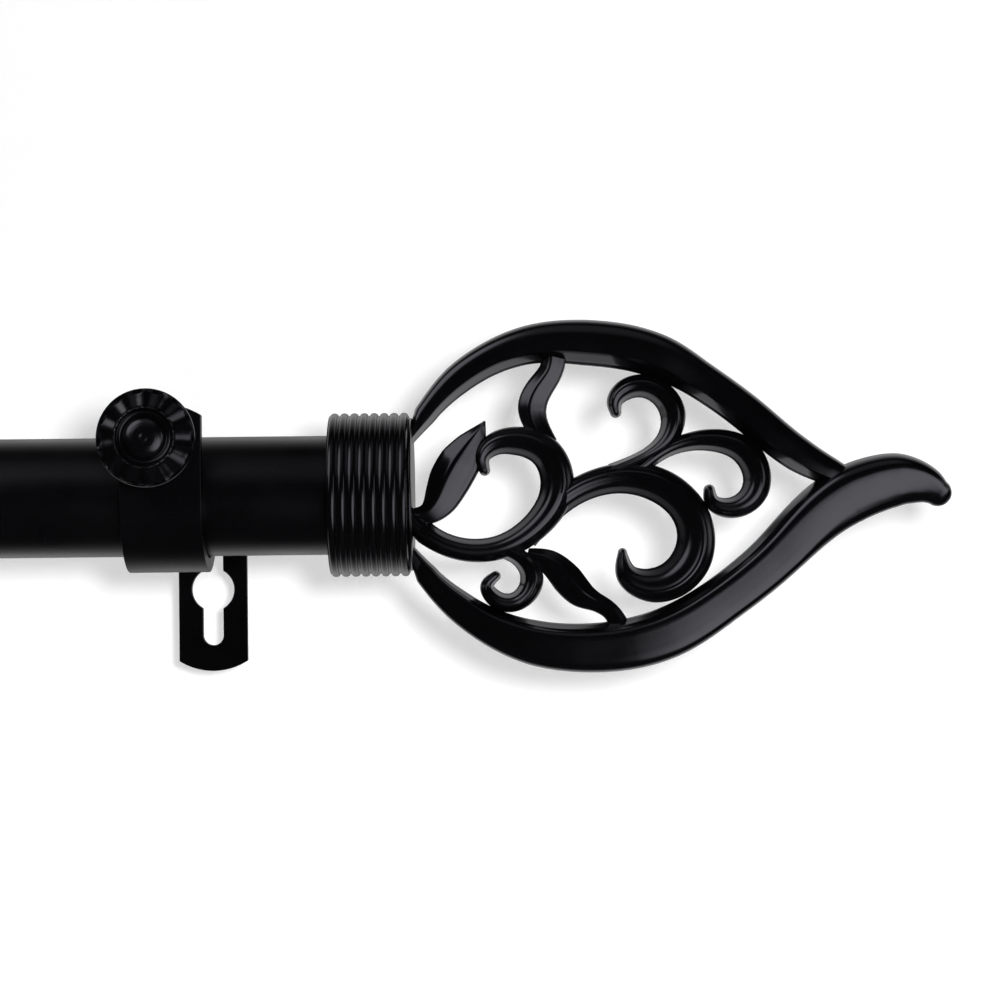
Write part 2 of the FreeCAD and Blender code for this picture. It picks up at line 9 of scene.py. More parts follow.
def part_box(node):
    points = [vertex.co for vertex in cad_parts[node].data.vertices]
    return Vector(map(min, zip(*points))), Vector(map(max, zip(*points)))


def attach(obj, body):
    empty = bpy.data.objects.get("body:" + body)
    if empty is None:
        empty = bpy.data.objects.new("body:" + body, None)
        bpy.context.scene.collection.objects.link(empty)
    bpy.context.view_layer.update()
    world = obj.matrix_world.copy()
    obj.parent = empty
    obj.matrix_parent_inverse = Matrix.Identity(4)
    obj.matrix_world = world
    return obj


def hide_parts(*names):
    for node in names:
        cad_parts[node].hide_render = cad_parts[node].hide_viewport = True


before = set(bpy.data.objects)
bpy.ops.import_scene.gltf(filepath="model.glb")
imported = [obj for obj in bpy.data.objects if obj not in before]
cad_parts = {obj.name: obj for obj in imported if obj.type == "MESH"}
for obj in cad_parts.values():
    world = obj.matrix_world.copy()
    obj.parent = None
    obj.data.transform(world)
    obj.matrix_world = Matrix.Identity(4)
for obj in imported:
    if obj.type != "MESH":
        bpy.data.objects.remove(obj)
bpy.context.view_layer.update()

millimetre = 0.001

# ---- places taken from the frame ----
rodLow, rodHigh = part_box("outer_tube")
rodY = (rodLow.y + rodHigh.y) / 2
rodZ = (rodLow.z + rodHigh.z) / 2
faceX = {"right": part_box("right_collar")[1].x, "left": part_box("left_collar")[0].x}
outward = {"right": 1.0, "left": -1.0}
strapFront = {side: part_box(side + "_cradle")[0].y for side in outward}
rodBody = {"right": "outer_rod", "left": "inner_rod"}


# ---- mesh helpers ----
def patchFaces(rows, columns, wrapRows):
    # quads between neighbouring points of a grid whose rows are closed rings, as point numbers
    row = np.arange(rows if wrapRows else rows - 1)[:, None]
    column = np.arange(columns)[None, :]
    nextRow = (row + 1) % rows
    nextColumn = (column + 1) % columns
    corners = [row * columns + column, row * columns + nextColumn,
               nextRow * columns + nextColumn, nextRow * columns + column]
    return np.stack(corners, axis=-1).reshape(-1, 4)


def solidPatch(points, wrapRows=False):
    # a grid of rings: every ring closes on itself, and the last either joins the first or both are closed
    # by a fan to their middle
    rows, columns = points.shape[:2]
    verts = points.reshape(-1, 3)
    quads = patchFaces(rows, columns, wrapRows)
    triangles = np.zeros((0, 3), int)
    if not wrapRows:
        verts = np.vstack([verts, points[0].mean(0), points[-1].mean(0)])
        ring = np.arange(columns)
        after = (ring + 1) % columns
        first = np.stack([np.full(columns, rows * columns), after, ring], axis=1)
        last = (rows - 1) * columns
        final = np.stack([np.full(columns, rows * columns + 1), last + ring, last + after], axis=1)
        triangles = np.vstack([first, final])
    # turn the faces over if they enclose a negative volume
    split = np.vstack([quads[:, [0, 1, 2]], quads[:, [0, 2, 3]], triangles])
    corner = verts[split]
    volume = np.einsum("ij,ij->i", corner[:, 0], np.cross(corner[:, 1], corner[:, 2])).sum()
    if volume < 0:
        quads = quads[:, ::-1]
        triangles = triangles[:, ::-1]
    return verts, quads, triangles


def makePiece(name, patches, material, body, sharp):
    # joins closed patches into one object at the origin, smooth except at edges sharper than so many degrees
    verts, faces, start = [], [], 0
    for points, quads, triangles in patches:
        verts.append(points)
        faces += (quads + start).tolist() + (triangles + start).tolist()
        start += len(points)
    mesh = bpy.data.meshes.new(name)
    mesh.from_pydata(np.vstack(verts).tolist(), [], faces)
    mesh.polygons.foreach_set("use_smooth", np.ones(len(mesh.polygons), bool))
    mesh.set_sharp_from_angle(angle=math.radians(sharp))
    mesh.materials.append(material)
    mesh.update()
    piece = bpy.data.objects.new(name, mesh)
    bpy.context.scene.collection.objects.link(piece)
    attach(piece, body)
    return piece


def softCorners(corners, radius, closed=False, steps=3):
    # each corner becomes a short quadratic curve that starts and ends at the radius from it, or at 0.45 of
    # the shorter side where that is less
    points = np.asarray(corners, float)
    toBefore = np.roll(points, 1, 0) - points
    toAfter = np.roll(points, -1, 0) - points
    before = np.linalg.norm(toBefore, axis=1, keepdims=True)
    after = np.linalg.norm(toAfter, axis=1, keepdims=True)
    cut = np.minimum(radius, 0.45 * np.minimum(before, after))
    start = (points + toBefore / before * cut)[:, None]
    end = (points + toAfter / after * cut)[:, None]
    f = np.linspace(0, 1, steps + 1)[None, :, None]
    curve = (1 - f) ** 2 * start + 2 * f * (1 - f) * points[:, None] + f ** 2 * end
    if closed:
        return curve.reshape(-1, 2)
    return np.vstack([points[:1], curve[1:-1].reshape(-1, 2), points[-1:]])


def lathe(along, radius, origin, axis, sideways):
    # (along, radius) grids of profile by angle, in millimetres, turned about the axis through the origin
    columns = along.shape[1]
    angle = np.linspace(0, math.tau, columns, endpoint=False)[None, :, None]
    axis, e1 = np.array(axis, float), np.array(sideways, float)
    e2 = np.cross(axis, e1)
    spoke = e1 * np.cos(angle) + e2 * np.sin(angle)
    return np.array(origin) + millimetre * (along[..., None] * axis + radius[..., None] * spoke)


def plainLathe(profile, columns, origin, axis, sideways=(0, 0, 1), closed=False):
    # the same (along, radius) profile at every angle
    grid = np.repeat(np.asarray(profile, float)[:, None, :], columns, axis=1)
    return solidPatch(lathe(grid[..., 0], grid[..., 1], origin, axis, sideways), wrapRows=closed)


def splineThrough(knots, values, samples):
    # natural cubic spline through the values: solves for the second derivatives, then evaluates each span
    knots, values = np.asarray(knots, float), np.asarray(values, float)
    n = len(knots)
    step = np.diff(knots)
    system, right = np.eye(n), np.zeros(n)
    for i in range(1, n - 1):
        system[i, i - 1:i + 2] = step[i - 1], 2 * (step[i - 1] + step[i]), step[i]
        right[i] = 6 * ((values[i + 1] - values[i]) / step[i] - (values[i] - values[i - 1]) / step[i - 1])
    bend = np.linalg.solve(system, right)
    span = np.clip(np.searchsorted(knots, samples, side="right") - 1, 0, n - 2)
    h, a, b = step[span], samples - knots[span], knots[span + 1] - samples
    return (bend[span] * b ** 3 + bend[span + 1] * a ** 3) / (6 * h) + (
        values[span] / h - bend[span] * h / 6) * b + (values[span + 1] / h - bend[span + 1] * h / 6) * a


# ---- materials ----
def linearColour(hexColour):
    # sRGB hex to linear RGB
    parts = np.array([int(hexColour[i:i + 2], 16) for i in (1, 3, 5)]) / 255
    linear = np.where(parts <= 0.04045, parts / 12.92, ((parts + 0.055) / 1.055) ** 2.4)
    return (*linear.tolist(), 1.0)


def addNode(tree, kind, settings=None, links=None):
    # settings: a property, or an input's name or number, to its value; links: an input to an output socket
    node = tree.nodes.new(kind)
    for key, value in (settings or {}).items():
        if isinstance(key, str) and hasattr(node, key):
            setattr(node, key, value)
        else:
            node.inputs[key].default_value = value
    for key, socket in (links or {}).items():
        tree.links.new(socket, node.inputs[key])
    return node


def coatedMetal(name, look):
    # baked paint over metal: near-black with a cool gloss, and the fine peel, faint cloudiness and stray dust
    # of a sprayed finish
    material = bpy.data.materials.new(name)
    material.use_nodes = True
    tree = material.node_tree
    shader = tree.nodes["Principled BSDF"]
    place = addNode(tree, "ShaderNodeTexCoord").outputs["Object"]
    peel = addNode(tree, "ShaderNodeTexNoise", {"Scale": 1 / (look["peelMm"] * millimetre), "Detail": 2.0},
                   {"Vector": place})
    cloud = addNode(tree, "ShaderNodeTexNoise", {"Scale": 1 / (look["cloudMm"] * millimetre), "Detail": 3.0},
                    {"Vector": place})
    dust = addNode(tree, "ShaderNodeTexVoronoi", {"Scale": 1 / (look["dustMm"] * millimetre)},
                   {"Vector": place})
    speck = addNode(tree, "ShaderNodeMapRange",
                    {"From Min": 0.0, "From Max": look["dustSize"], "To Min": 1.0, "To Max": 0.0},
                    {"Value": dust.outputs["Distance"]})
    dustyLow, dustyHigh = look["dustyCloud"]
    thin = addNode(tree, "ShaderNodeMapRange", {"From Min": dustyLow, "From Max": dustyHigh},
                   {"Value": cloud.outputs["Fac"]})
    shown = addNode(tree, "ShaderNodeMath", {"operation": "MULTIPLY"},
                    {0: speck.outputs["Result"], 1: thin.outputs["Result"]})
    tone = addNode(tree, "ShaderNodeMix",
                   {"data_type": "RGBA", 6: linearColour(look["dark"]), 7: linearColour(look["light"])},
                   {0: cloud.outputs["Fac"]})
    dusty = addNode(tree, "ShaderNodeMix", {"data_type": "RGBA", 7: linearColour(look["dust"])},
                    {0: shown.outputs["Value"], 6: tone.outputs[2]})
    tree.links.new(dusty.outputs[2], shader.inputs["Base Color"])
    # the noise keeps mostly to the middle of its range
    noiseLow, noiseHigh = look["noiseRange"]
    rough = addNode(tree, "ShaderNodeMapRange",
                    {"From Min": noiseLow, "From Max": noiseHigh,
                     "To Min": look["roughness"] - look["roughnessSpread"],
                     "To Max": look["roughness"] + look["roughnessSpread"]}, {"Value": cloud.outputs["Fac"]})
    tree.links.new(rough.outputs["Result"], shader.inputs["Roughness"])
    bump = addNode(tree, "ShaderNodeBump",
                   {"Strength": look["peelStrength"], "Distance": look["peelHeightMm"] * millimetre},
                   {"Height": peel.outputs["Fac"]})
    tree.links.new(bump.outputs["Normal"], shader.inputs["Normal"])
    shader.inputs["IOR"].default_value = look["ior"]
    shader.inputs["Specular IOR Level"].default_value = look["specular"]
    shader.inputs["Specular Tint"].default_value = linearColour(look["cast"])
    return material


# the peel is the short waves of a sprayed coat, under a millimetre long, and dust nibs are 0.2 to 0.3 mm
# across
paintLook = {"dark": "#030304", "light": "#060607", "dust": "#5c5c60", "peelMm": 0.9, "peelStrength": 0.25,
             "peelHeightMm": 0.02, "cloudMm": 14.0, "dustMm": 3.1, "dustSize": 0.035,
             "dustyCloud": (0.56, 0.66), "noiseRange": (0.3, 0.7), "roughness": 0.30,
             "roughnessSpread": 0.05, "ior": 1.5, "specular": 0.5, "cast": "#f4f2ff"}
# lacquer sprayed on drawn steel tube: satin, with one long soft highlight
rodPaint = coatedMetal("satinBlackTubeLacquer", dict(paintLook, roughness=0.29, specular=0.22))
# powder coat on pressed steel strip: the finest peel and the faintest sheen
strapPaint = coatedMetal("satinBlackStrapPowderCoat",
                         dict(paintLook, roughness=0.30, peelMm=0.6, specular=0.13))
# lacquer on zinc castings: semi-gloss, so that ridges and rolls carry narrow highlights; the knob's has the
# largest dust nibs
castingPaint = coatedMetal("semiGlossBlackCastingLacquer", dict(paintLook, roughness=0.17))
collarPaint = coatedMetal("semiGlossBlackCollarLacquer", dict(paintLook, roughness=0.15, specular=0.42))
knobPaint = coatedMetal("semiGlossBlackKnobLacquer", dict(paintLook, roughness=0.2, dustSize=0.05))
# black oxide: a thin grey-black conversion layer, duller than paint
fastenerPaint = coatedMetal("blackOxideScrewFinish", dict(paintLook, roughness=0.42, light="#18181b"))


def bareMetal(name, look):
    # turned and plated metal: fine rings from the tool along the axis, patchy tarnish and a broken sheen
    material = bpy.data.materials.new(name)
    material.use_nodes = True
    tree = material.node_tree
    shader = tree.nodes["Principled BSDF"]
    place = addNode(tree, "ShaderNodeTexCoord").outputs["Object"]
    stain = addNode(tree, "ShaderNodeTexNoise", {"Scale": 1 / (look["stainMm"] * millimetre), "Detail": 4.0},
                    {"Vector": place})
    rings = addNode(tree, "ShaderNodeTexWave",
                    {"bands_direction": look["rings"], "Distortion": look["ringWobble"],
                     "Scale": 1 / (look["waveBands"] * look["ringMm"] * millimetre)}, {"Vector": place})
    tone = addNode(tree, "ShaderNodeMix",
                   {"data_type": "RGBA", 6: linearColour(look["bright"]), 7: linearColour(look["dull"])},
                   {0: stain.outputs["Fac"]})
    tree.links.new(tone.outputs[2], shader.inputs["Base Color"])
    noiseLow, noiseHigh = look["noiseRange"]
    rough = addNode(tree, "ShaderNodeMapRange",
                    {"From Min": noiseLow, "From Max": noiseHigh,
                     "To Min": look["roughness"] - look["smoother"],
                     "To Max": look["roughness"] + look["rougher"]}, {"Value": stain.outputs["Fac"]})
    tree.links.new(rough.outputs["Result"], shader.inputs["Roughness"])
    bump = addNode(tree, "ShaderNodeBump",
                   {"Strength": look["ringStrength"], "Distance": look["ringHeightMm"] * millimetre},
                   {"Height": rings.outputs["Fac"]})
    tree.links.new(bump.outputs["Normal"], shader.inputs["Normal"])
    shader.inputs["Metallic"].default_value = 1.0
    return material


def mouldedNylon(name, look):
    # injection-moulded polyamide: dark, slightly milky in patches, with the fine spark-eroded grain
    # of its mould
    material = bpy.data.materials.new(name)
    material.use_nodes = True
    tree = material.node_tree
    shader = tree.nodes["Principled BSDF"]
    place = addNode(tree, "ShaderNodeTexCoord").outputs["Object"]
    grain = addNode(tree, "ShaderNodeTexNoise", {"Scale": 1 / (look["grainMm"] * millimetre), "Detail": 3.0},
                    {"Vector": place})
    milk = addNode(tree, "ShaderNodeTexNoise", {"Scale": 1 / (look["milkMm"] * millimetre), "Detail": 2.0},
                   {"Vector": place})
    tone = addNode(tree, "ShaderNodeMix",
                   {"data_type": "RGBA", 6: linearColour(look["dark"]), 7: linearColour(look["light"])},
                   {0: milk.outputs["Fac"]})
    tree.links.new(tone.outputs[2], shader.inputs["Base Color"])
    rough = addNode(tree, "ShaderNodeMapRange",
                    {"To Min": look["roughness"] - look["roughnessSpread"],
                     "To Max": look["roughness"] + look["roughnessSpread"]}, {"Value": grain.outputs["Fac"]})
    tree.links.new(rough.outputs["Result"], shader.inputs["Roughness"])
    bump = addNode(tree, "ShaderNodeBump",
                   {"Strength": look["grainStrength"], "Distance": look["grainHeightMm"] * millimetre},
                   {"Height": grain.outputs["Fac"]})
    tree.links.new(bump.outputs["Normal"], shader.inputs["Normal"])
    shader.inputs["IOR"].default_value = look["ior"]
    return material


# a ring repeats every 2 pi times ringMm, about 1.6 mm, which is drawn far coarser than the tool's feed of a
# tenth of a millimetre, so that it shows; waveBands is the factor the wave texture has built in
turnedLook = {"ringMm": 0.25, "ringHeightMm": 0.01, "ringStrength": 0.3, "ringWobble": 0.6, "rings": "X",
              "waveBands": 20, "noiseRange": (0.3, 0.7), "smoother": 0.06, "rougher": 0.10}
zincPlate = bareMetal("brightZincPlatedSteel", dict(turnedLook, bright="#c9ccd0", dull="#9a9ea4", stainMm=3.0,
                                                    roughness=0.28))
turnedBrass = bareMetal("turnedFreeCuttingBrass", dict(turnedLook, bright="#d9b45f", dull="#a8813a",
                                                       stainMm=2.5, roughness=0.24))
# the mould's grain is drawn coarser than a fine spark-eroded one, so that it shows
blackNylon = mouldedNylon("mouldedBlackNylon", {"dark": "#08080a", "light": "#141416", "grainMm": 0.35,
                                                "grainHeightMm": 0.02, "grainStrength": 0.35, "milkMm": 5.0,
                                                "roughness": 0.48, "roughnessSpread": 0.05, "ior": 1.53})
print("materials made")

# ---- finials ----
finialShape = {
    "ringsPerMm": 2.2, "acrossPoints": 31,
    "tipRings": 6, "tipEnd": 0.985,                       # how far round its quarter circle a tip goes
    "rootReach": 3.0, "rootEase": 2.0, "rootDepth": 0.9,  # how a member grows out of the base disc
    "tailBlend": (80.0, 93.0), "taper": 0.5,
    "discRadius": 16.3, "discStart": 0.2, "discEnd": 0.75, "discPole": 0.01, "discSoft": 0.35,
    "discColumns": 96,
    "spigot": ((0.6, 3.1), (0.6, 9.2), (-5.6, 9.2), (-5.6, 3.1)), "spigotSoft": 0.4, "spigotColumns": 72,
    "sharp": 50.0,
}
# (distance beyond the collar, height, width) along each member in mm; outer is 1 where the crest is on the
# left of the way it runs, depth is half its thickness, and taper is the share of it that follows the width
members = {
    "upperArc": {"section": "arc", "outer": 1, "depth": 4.8, "stations": (
        (0.4, 12.6, 4.6), (4.8, 18.6, 5.1), (10.2, 24.1, 6.5), (15.8, 27.9, 7.1), (26.7, 31.8, 8.4),
        (37.6, 32.0, 9.7), (46.0, 31.0, 9.8), (54.4, 28.4, 9.4), (61.6, 24.2, 8.2), (72.4, 16.3, 7.9),
        (83.2, 7.5, 7.5), (89.6, 4.0, 6.0), (94.0, 2.0, 4.4))},
    "lowerArc": {"section": "lowerArc", "endSection": "tail", "outer": -1, "depth": 5.0, "taper": 0.75,
                 "stations": (
        (0.4, -12.9, 4.6), (4.4, -18.3, 5.1), (9.7, -23.4, 6.6), (15.2, -27.3, 7.6), (26.0, -31.8, 9.6),
        (36.9, -33.1, 10.4), (47.8, -32.1, 11.0), (55.5, -29.7, 11.0), (66.4, -23.2, 10.2),
        (77.4, -14.5, 10.6), (88.4, -4.3, 12.2), (94.0, -0.9, 12.6), (99.3, 1.1, 12.2), (104.4, 2.0, 11.3),
        (108.2, 1.5, 9.5), (111.0, 0.4, 7.6), (112.7, -0.8, 5.9))},
    "stemScroll": {"section": "scroll", "outer": -1, "depth": 4.0, "stations": (
        (0.4, -5.6, 5.6), (3.8, -8.6, 4.9), (9.8, -11.5, 4.9), (18.7, -11.6, 5.2), (27.8, -6.0, 6.2),
        (31.5, 1.3, 7.2), (29.0, 8.7, 6.9), (22.2, 11.2, 6.0), (17.4, 10.0, 4.6),
        (15.6, 7.5, 3.3), (16.1, 5.0, 2.4))},
    "greatSpiral": {"section": "scroll", "outer": 1, "depth": 4.0, "stations": (
        (25.0, -10.0, 4.3), (34.4, -0.5, 5.5), (42.8, 2.7, 6.2), (52.4, 1.7, 7.4), (60.2, -5.7, 7.8),
        (59.9, -14.6, 8.5), (51.5, -19.9, 7.4), (46.2, -17.4, 4.9), (45.3, -12.9, 2.0))},
    "topCurl": {"section": "scroll", "outer": -1, "depth": 3.9, "stations": (
        (43.0, 4.6, 3.0), (50.3, 7.7, 2.9), (54.9, 11.2, 4.3), (56.3, 16.8, 5.5), (51.6, 22.2, 5.1),
        (45.9, 21.6, 4.5), (44.0, 19.1, 3.4), (44.2, 17.1, 2.5))},
    "rightCurl": {"section": "scroll", "outer": 1, "depth": 3.8, "stations": (
        (49.5, 5.0, 2.6), (55.3, 9.0, 3.2), (64.0, 10.9, 4.7), (72.3, 7.6, 6.0), (73.7, 0.1, 5.8),
        (68.1, -3.6, 4.4), (64.4, -1.9, 3.2), (64.0, 0.2, 2.5))},
    "smallCurl": {"section": "scroll", "outer": 1, "depth": 3.7, "stations": (
        (17.5, -12.0, 2.6), (23.0, -13.6, 3.8), (25.9, -18.2, 5.0), (22.6, -23.0, 4.2), (17.8, -22.2, 3.7),
        (16.4, -19.6, 3.0), (18.2, -17.6, 2.2))},
    "rootLeaf": {"section": "leaf", "outer": 1, "depth": 2.6, "stations": (
        (0.4, -4.6, 3.2), (3.6, -4.2, 4.6), (6.4, -1.6, 7.2), (8.6, 2.8, 9.0), (11.0, 7.0, 8.9),
        (13.3, 10.6, 6.3), (15.0, 13.2, 3.4), (16.1, 15.2, 0.7))},
    "topLeaf": {"section": "leaf", "outer": 1, "depth": 2.6, "stations": (
        (29.6, 10.2, 4.6), (27.3, 14.4, 5.2), (26.4, 18.2, 6.2), (28.2, 22.6, 5.8), (30.6, 26.4, 5.2),
        (31.2, 30.2, 5.6))},
    "bottomLeaf": {"section": "leaf", "outer": 1, "depth": 2.6, "stations": (
        (25.0, -13.0, 2.6), (29.4, -14.6, 5.2), (33.4, -18.4, 6.8), (36.4, -21.6, 6.0), (39.4, -23.3, 4.2),
        (42.4, -25.2, 3.8), (44.6, -28.4, 4.0))},
}
# sections: (share of the width from the outer edge, share of the half depth)
sections = {
    "arc": ((0, 0), (0.0, 0.20), (0.02, 0.42), (0.07, 0.66), (0.15, 0.85), (0.25, 0.95), (0.38, 1.0),
            (0.60, 1.0), (0.70, 0.985), (0.712, 1.0), (0.735, 1.0), (0.75, 0.96), (0.775, 0.88), (0.93, 0.24),
            (0.945, 0.16), (0.955, 0.14), (0.985, 0.10), (1, 0)),
    "lowerArc": ((0, 0), (0.0, 0.2), (0.015, 0.42), (0.05, 0.62), (0.11, 0.76), (0.19, 0.83), (0.45, 0.92),
                 (0.72, 1.0), (0.765, 1.0), (0.81, 0.93), (0.85, 0.74), (0.88, 0.66), (0.95, 0.30),
                 (0.985, 0.14), (1, 0)),
    "tail": ((0, 0), (0.0, 0.22), (0.03, 0.40), (0.10, 0.57), (0.24, 0.74), (0.40, 0.86), (0.58, 0.95),
             (0.72, 1.0), (0.80, 0.98), (0.87, 0.88), (0.925, 0.70), (0.965, 0.48), (0.99, 0.25), (1, 0)),
    "scroll": ((0, 0), (0.0, 0.30), (0.03, 0.50), (0.10, 0.66), (0.20, 0.80), (0.26, 0.93), (0.30, 1.0),
               (0.35, 1.0), (0.40, 0.93), (0.46, 0.89), (0.56, 0.87), (0.66, 0.82), (0.735, 0.72),
               (0.79, 0.58), (0.95, 0.10), (0.985, 0.05), (1, 0)),
    "leaf": ((0, 0), (0.0, 0.35), (0.04, 0.50), (0.18, 0.70), (0.34, 0.96), (0.38, 1.0), (0.43, 0.98),
             (0.70, 0.78), (0.88, 0.62), (0.93, 0.62), (0.965, 0.50), (1.0, 0.28), (1, 0)),
}


def sectionRing(name, points):
    # resamples half a section evenly along its own length, front from outer to inner and back again
    corners = np.array(sections[name], float)
    length = np.concatenate([[0], np.cumsum(np.linalg.norm(np.diff(corners, axis=0), axis=1))])
    at = np.linspace(0, length[-1], points)
    share = np.interp(at, length, corners[:, 0])
    depth = np.interp(at, length, corners[:, 1])
    share = np.concatenate([share, share[-2:0:-1]])
    depth = np.concatenate([-depth, depth[-2:0:-1]])
    return share, depth


def member(look):
    # a section carried along a spline through the stations, scaled to the local width, with a round tip;
    # a member that grows from the base disc starts parallel to the disc
    shape = finialShape
    stations = np.array(look["stations"], float)
    knots = np.concatenate([[0], np.cumsum(np.linalg.norm(np.diff(stations[:, :2], axis=0), axis=1))])
    rings = int(knots[-1] * shape["ringsPerMm"])
    at = np.linspace(0, knots[-1], rings)
    centre = np.stack([splineThrough(knots, stations[:, axis], at) for axis in (0, 1)], axis=1)
    # half way between a straight and a smooth change of width
    width = 0.5 * (np.interp(at, knots, stations[:, 2]) + splineThrough(knots, stations[:, 2], at))
    heading = np.gradient(centre, at, axis=0)
    heading /= np.linalg.norm(heading, axis=1, keepdims=True)
    # the tip: rings shrink along a quarter circle ahead of the last station
    turn = np.linspace(0, math.pi / 2, shape["tipRings"] + 1)[1:] * shape["tipEnd"]
    centre = np.vstack([centre, centre[-1] + heading[-1] * width[-1] / 2 * np.sin(turn)[:, None]])
    heading = np.vstack([heading, np.repeat(heading[-1:], len(turn), axis=0)])
    shrink = np.concatenate([np.ones(rings), np.cos(turn)])
    width = np.concatenate([width, width[-1] * np.cos(turn)])
    normal = np.stack([-heading[:, 1], heading[:, 0]], axis=1)
    fromRoot = centre[:, 0] - stations[0, 0]
    atDisc = stations[0, 0] < shape["discEnd"]
    if atDisc:
        fade = np.clip(1 - fromRoot / shape["rootReach"], 0, 1)[:, None]
        normal = (1 - fade) * normal + fade * np.array([[0.0, 1.0]])
    share, depth = sectionRing(look["section"], shape["acrossPoints"])
    endShare, endDepth = sectionRing(look.get("endSection", look["section"]), shape["acrossPoints"])
    low, high = shape["tailBlend"]
    blend = np.clip((centre[:, :1] - low) / (high - low), 0, 1)
    share = (1 - blend) * share[None, :] + blend * endShare[None, :]
    depth = (1 - blend) * depth[None, :] + blend * endDepth[None, :]
    flat = centre[:, None] + normal[:, None] * (look["outer"] * (0.5 - share) * width[:, None])[..., None]
    taper = look.get("taper", shape["taper"])
    fullness = np.minimum(1.0, 1 - taper + taper * width / stations[:, 2].max())
    ease = np.clip(fromRoot / shape["rootEase"], 0, 1) if atDisc else np.ones(len(centre))
    rootShare = shape["rootDepth"] + (1 - shape["rootDepth"]) * ease
    deep = depth * (look["depth"] * fullness * np.sqrt(shrink) * rootShare)[:, None]
    return np.stack([flat[..., 0], deep, flat[..., 1]], axis=-1)


def castFinial(side):
    # arcs, scrolls, leaves, base disc and spigot of one casting, as closed shells that run into one another;
    # the left one is the right one turned end for end
    look = finialShape
    sign = outward[side]
    origin = np.array([faceX[side], rodY, rodZ])
    turned = np.array([sign, sign, 1])
    patches = [solidPatch(origin + member(piece) * millimetre * turned) for piece in members.values()]
    start, end, pole, radius = look["discStart"], look["discEnd"], look["discPole"], look["discRadius"]
    disc = softCorners(((start, pole), (start, radius), (end, radius), (end, pole)), look["discSoft"])
    patches.append(plainLathe(disc, look["discColumns"], origin, (sign, 0, 0)))
    spigot = softCorners(look["spigot"], look["spigotSoft"], closed=True)
    patches.append(plainLathe(spigot, look["spigotColumns"], origin, (sign, 0, 0), closed=True))
    return makePiece(side + "FinialCasting", patches, castingPaint, side + "_casting", look["sharp"])


for side in outward:
    finial = castFinial(side)
    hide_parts(side + "_finial")
print("finials made")

# ---- collars ----
collarShape = {"ribs": 8, "length": 16.9, "shift": 0.1, "valley": 16.85, "rib": 17.45, "bore": 12.78,
               "lipBore": 9.9, "lip": 1.6, "flat": 0.24, "arcPoints": 13, "lipChamfer": 0.2,
               "boreChamfer": 0.3, "faceDrop": 0.25, "backDrop": 0.2, "columns": 192, "sharp": 45.0}


def collarProfile(look):
    # rounded ribs: radius is the valley plus the rib height times sqrt(1 - t^2), t from -1 to 1 over each rib
    pitch = look["length"] / look["ribs"]
    t = np.concatenate([[-1 - look["flat"]], -np.cos(np.linspace(0, math.pi, look["arcPoints"]))])
    start = -look["length"] + pitch * (np.arange(look["ribs"]) + 0.5)
    along = (start[:, None] + t[None, :] * pitch / 2 / (1 + look["flat"])).ravel()
    height = np.sqrt(np.clip(1 - np.minimum(np.abs(t), 1) ** 2, 0, 1)) * (look["rib"] - look["valley"])
    radius = look["valley"] + np.tile(height, look["ribs"])
    lip, low = -look["lip"], -look["length"]
    lipBore, bore, lead, cut = look["lipBore"], look["bore"], look["lipChamfer"], look["boreChamfer"]
    inside = np.array(((0, look["valley"] - look["faceDrop"]), (0, lipBore + lead), (-lead, lipBore),
                       (lip, lipBore), (lip, bore), (low + cut, bore), (low, bore + cut),
                       (low, look["valley"] - look["backDrop"])))
    return np.vstack([np.stack([along, radius], axis=1), inside])


def makeCollar(side):
    look = collarShape
    origin = (faceX[side] + outward[side] * look["shift"] * millimetre, rodY, rodZ)
    patch = plainLathe(collarProfile(look), look["columns"], origin, (outward[side], 0, 0), closed=True)
    collar = makePiece(side + "RibbedCollar", [patch], collarPaint, rodBody[side],
                       look["sharp"])
    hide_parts(side + "_collar")


# ---- thumb knobs ----
knobShape = {"flutes": 14, "perFlute": 10, "fluteDepth": 0.95, "fluteInner": 6.1, "fluteOuter": 9.88,
             "faceStart": 21.9, "innerLead": 0.3, "innerRun": 0.4, "outerRun": 0.35, "domeRadius": 6.0,
             "domeShare": 0.55, "rimRise": 3.8, "soft": 0.12, "sharp": 30.0}
# (distance out from the strap's face, radius) from the back of the hub round to the dome's middle, in mm
knobProfile = (
    (11.0, 2.62), (11.0, 4.6), (11.3, 5.0), (16.6, 5.0), (17.4, 5.6), (19.0, 8.3), (19.9, 9.2),
    (20.6, 9.75), (21.2, 9.9), (21.75, 9.86), (22.0, 9.62), (22.05, 9.4), (22.4, 8.75), (22.85, 8.0),
    (23.3, 7.2), (23.7, 6.5),
    (23.95, 6.1), (24.0, 5.9), (23.75, 5.75), (23.2, 5.62), (23.0, 5.45), (23.15, 5.3), (23.3, 5.05),
    (23.25, 4.8), (22.9, 4.62), (22.7, 4.45), (22.85, 4.25), (23.35, 4.05), (23.8, 3.65), (24.15, 3.0),
    (24.34, 2.2), (24.4, 1.4), (24.36, 0.9), (24.26, 0.5), (24.24, 0.02),
)


